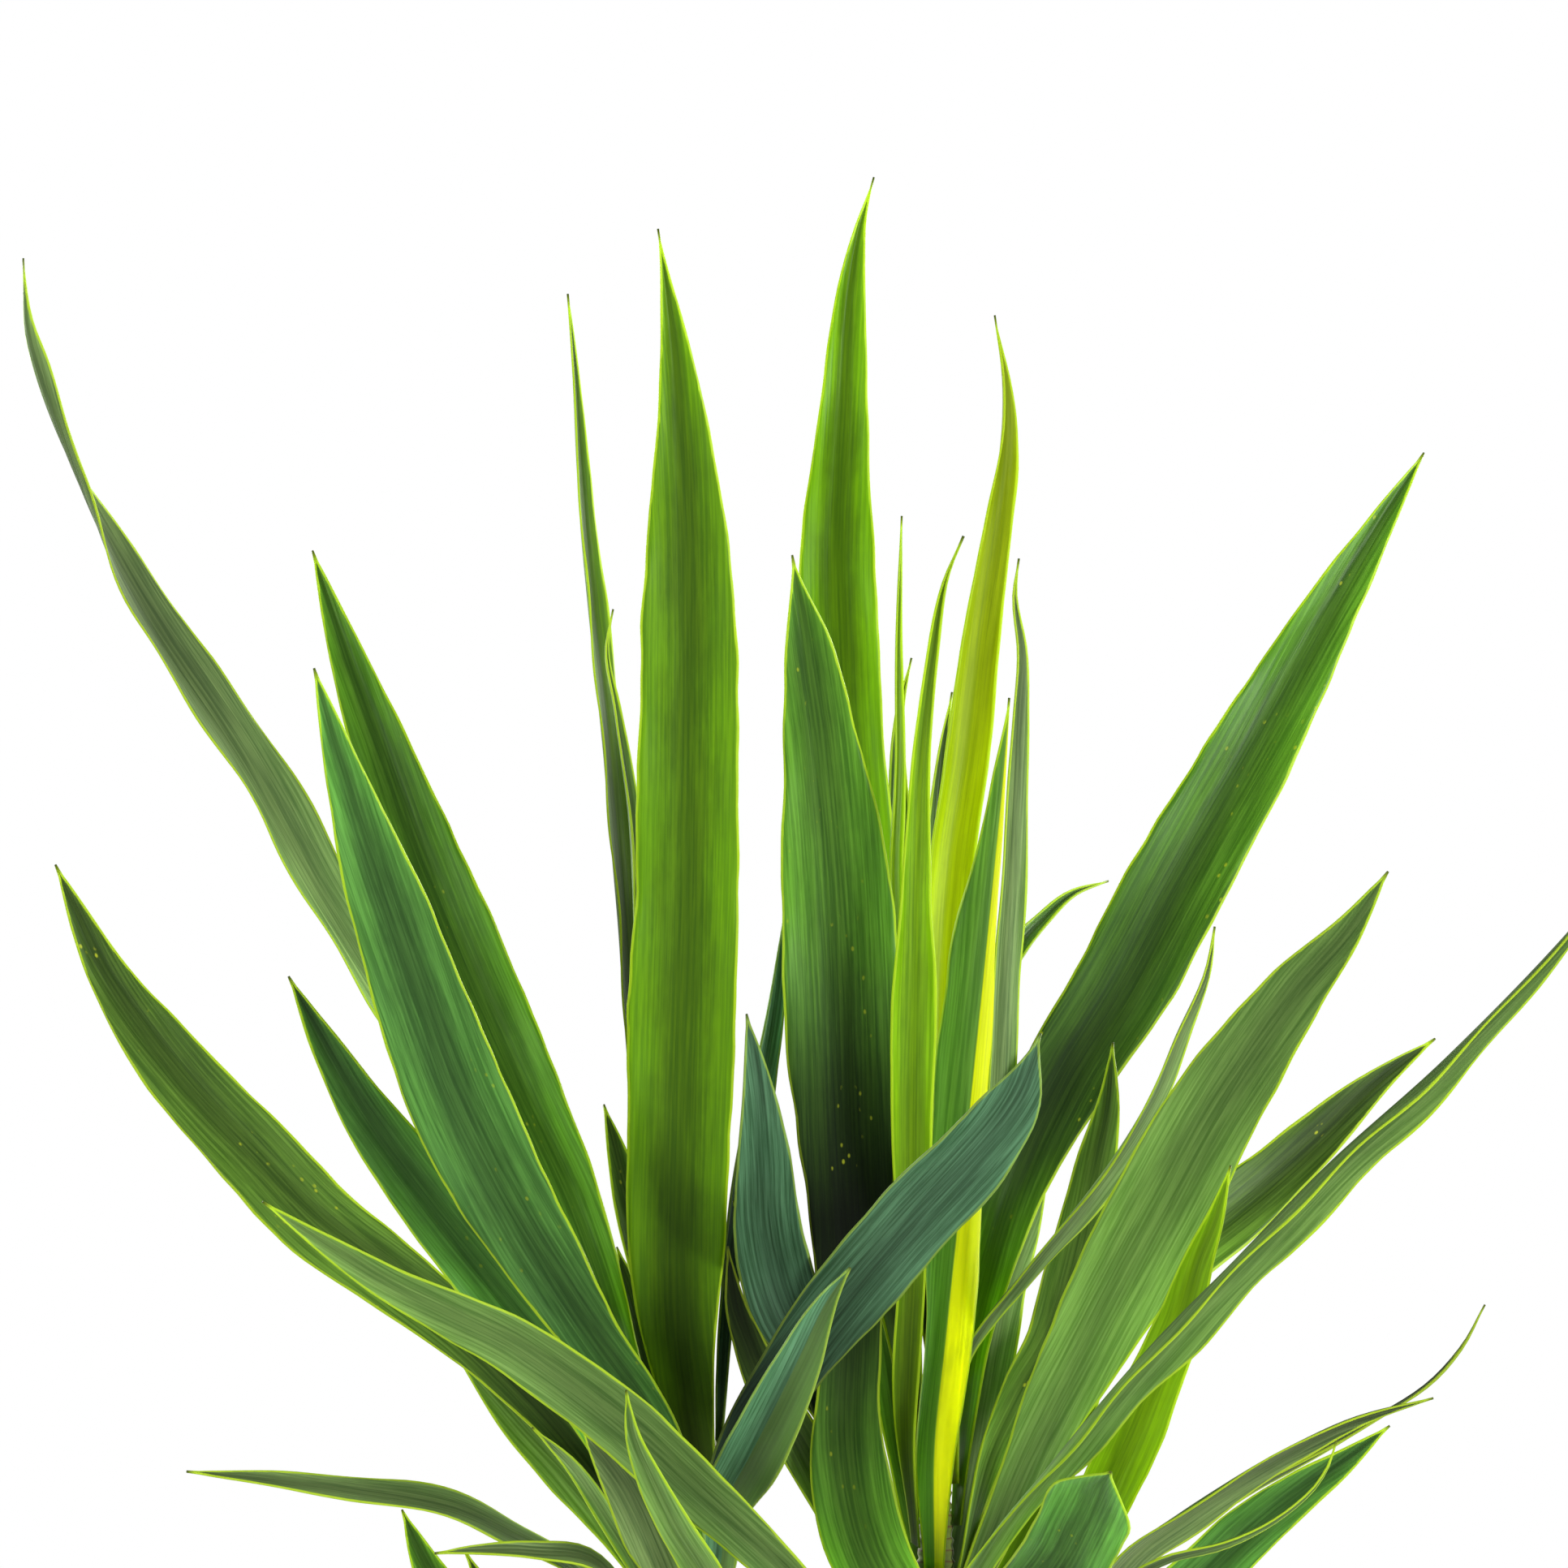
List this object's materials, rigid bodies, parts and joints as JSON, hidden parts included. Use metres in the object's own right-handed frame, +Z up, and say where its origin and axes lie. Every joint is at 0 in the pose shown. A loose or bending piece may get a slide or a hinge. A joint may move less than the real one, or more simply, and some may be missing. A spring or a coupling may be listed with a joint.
{
  "type": "potted yucca",
  "caption": "Potted yucca: a woody cane with leafy side shoots and long pointed green leaves, standing in soil in a plain round clay pot.",
  "frame": {"origin": "centre of the pot's underside", "axes": "+Z up along the pot's axis, -Y towards the plant's front, +X to the right seen from the front"},
  "size_m": [0.6821, 0.483, 1.1043],
  "materials": {
    "pot_clay": "unglazed fired clay, matte",
    "soil": "dry crumbly potting soil",
    "cane_bark": "rough woody bark with a sawn top",
    "shoot_stem": "green stem ringed with leaf scars",
    "leaf": "smooth semi-gloss leaf with fine long veins"
  },
  "bodies": {
    "root": {"cane": "cane_bark", "leaf_left_01": "leaf", "leaf_left_02": "leaf", "leaf_left_03": "leaf", "leaf_left_04": "leaf", "leaf_left_05": "leaf", "leaf_left_06": "leaf", "leaf_left_07": "leaf", "leaf_left_08": "leaf", "leaf_left_09": "leaf", "leaf_left_10": "leaf", "leaf_left_11": "leaf", "leaf_left_12": "leaf", "leaf_left_13": "leaf", "leaf_left_14": "leaf", "leaf_left_15": "leaf", "leaf_left_16": "leaf", "leaf_left_17": "leaf", "leaf_left_18": "leaf", "leaf_left_19": "leaf", "leaf_left_20": "leaf", "leaf_left_21": "leaf", "leaf_left_22": "leaf", "leaf_left_23": "leaf", "leaf_left_24": "leaf", "leaf_right_01": "leaf", "leaf_right_02": "leaf", "leaf_right_03": "leaf", "leaf_right_04": "leaf", "leaf_right_05": "leaf", "leaf_right_06": "leaf", "leaf_right_07": "leaf", "leaf_right_08": "leaf", "leaf_right_09": "leaf", "leaf_right_10": "leaf", "leaf_right_11": "leaf", "leaf_right_12": "leaf", "leaf_right_13": "leaf", "leaf_right_14": "leaf", "leaf_right_15": "leaf", "leaf_right_16": "leaf", "leaf_right_17": "leaf", "leaf_right_18": "leaf", "leaf_right_19": "leaf", "leaf_right_20": "leaf", "leaf_right_21": "leaf", "leaf_right_22": "leaf", "leaf_right_23": "leaf", "leaf_right_24": "leaf", "leaf_right_25": "leaf", "leaf_right_26": "leaf", "leaf_right_27": "leaf", "leaf_right_28": "leaf", "leaf_right_29": "leaf", "leaf_right_30": "leaf", "pot": "pot_clay", "shoot_left": "shoot_stem", "shoot_right": "shoot_stem", "soil": "soil"}
  },
  "joints": []
}
